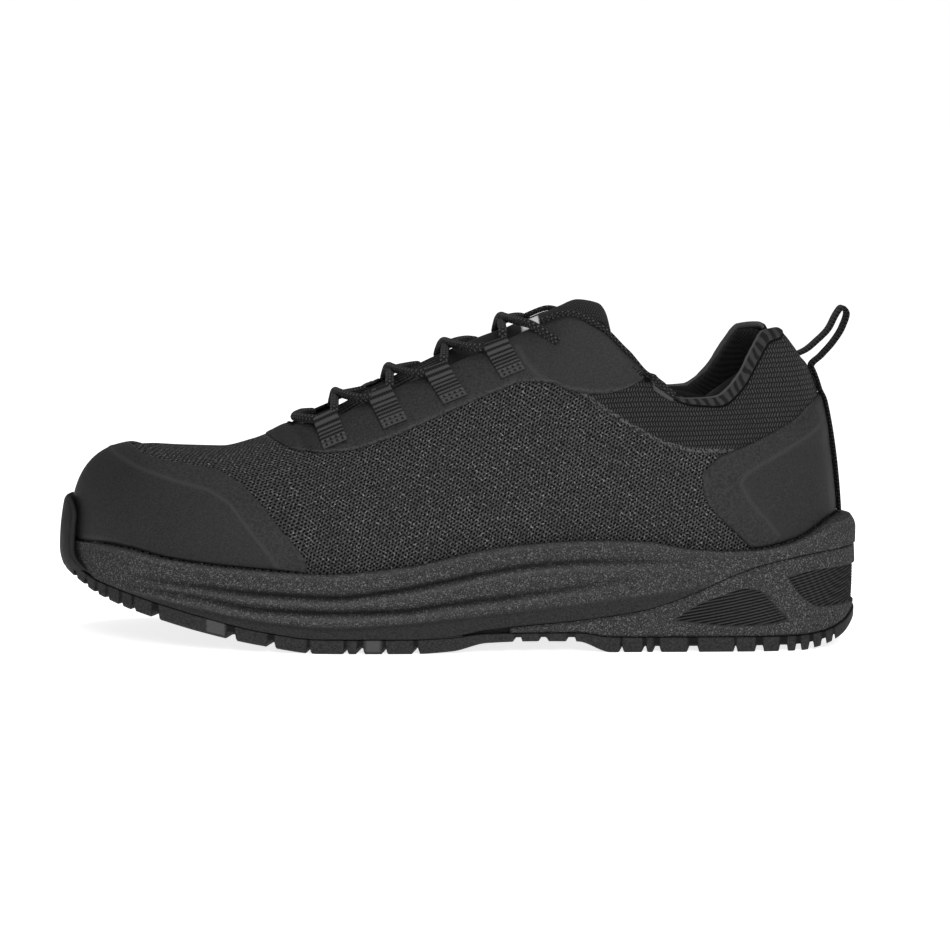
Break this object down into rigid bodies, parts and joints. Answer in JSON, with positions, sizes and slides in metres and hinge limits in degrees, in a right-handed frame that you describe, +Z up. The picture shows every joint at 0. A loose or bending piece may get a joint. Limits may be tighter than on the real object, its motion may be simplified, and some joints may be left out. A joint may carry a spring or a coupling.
{
  "type": "safety sneaker",
  "caption": "Low lace-up work sneaker with a knit upper, smooth overlays, foam sole, rubber tread turned up over the toe and a heel pull loop.",
  "frame": {"origin": "middle of the bounding box on the floor, under the arch", "axes": "+X from toe to heel, +Y towards the inner side of the foot, +Z up"},
  "size_m": [0.304, 0.1078, 0.1298],
  "materials": {
    "film": "smooth moulded film, satin",
    "foam": "stippled foam, satin",
    "textile": "fine textile, matt",
    "lace": "braided cord, matt",
    "webbing": "ribbed webbing, matt",
    "tread_rubber": "smooth rubber, satin",
    "knit": "coarse black knit, matt"
  },
  "bodies": {
    "root": {"eyestay_lateral": "film", "eyestay_medial": "film", "heel_carrier": "foam", "heel_counter": "film", "insole": "textile", "lace": "lace", "lace_loop_lateral_1": "webbing", "lace_loop_lateral_2": "webbing", "lace_loop_lateral_3": "webbing", "lace_loop_lateral_4": "webbing", "lace_loop_medial_1": "webbing", "lace_loop_medial_2": "webbing", "lace_loop_medial_3": "webbing", "lace_loop_medial_4": "webbing", "midsole": "foam", "outsole": "tread_rubber", "pull_loop": "webbing", "toe_overlay": "film", "tongue": "textile", "upper": "knit"}
  },
  "joints": []
}
